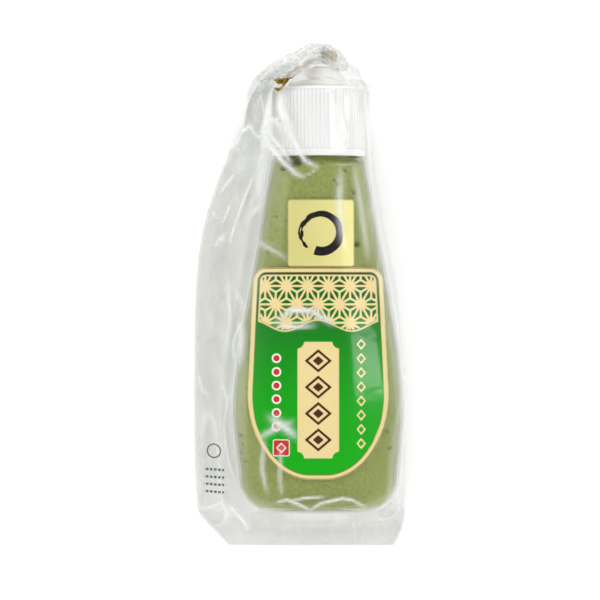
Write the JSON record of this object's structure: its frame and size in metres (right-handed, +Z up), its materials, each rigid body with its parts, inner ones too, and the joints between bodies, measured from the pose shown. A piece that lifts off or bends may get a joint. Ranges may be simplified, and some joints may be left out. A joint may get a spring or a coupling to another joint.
{
  "type": "bagged squeeze bottle of grated wasabi paste",
  "caption": "See-through squeeze bottle of green paste with a fluted screw cap and blank labels, lying in a clear film bag closed by a gold twist tie.",
  "frame": {"origin": "centre of the bounding box in X and Y, on the surface that the bag lies on", "axes": "+Y along the bottle towards its caps, +Z up, out of the labelled front, +X to the right seen from above with the caps at the top"},
  "size_m": [0.0855, 0.2016, 0.0452],
  "materials": {
    "bottle_plastic": "see-through blown plastic, smooth",
    "paste": "moist grated paste",
    "liner": "plain foil",
    "cap_plastic": "white moulded plastic, satin",
    "top_cap_plastic": "white moulded plastic, satin",
    "gold_label": "pale gold foil label",
    "green_label": "printed film label",
    "back_label": "plain film label",
    "film": "clear glossy film",
    "gold_tie": "gold foil over wire"
  },
  "bodies": {
    "root": {"bottle": "bottle_plastic", "paste": "paste", "mouth_seal": "liner", "screw_cap": "cap_plastic", "top_cap": "top_cap_plastic", "gold_label": "gold_label", "front_label": "green_label", "back_label": "back_label", "bag": "film", "twist_tie": "gold_tie"}
  },
  "joints": []
}
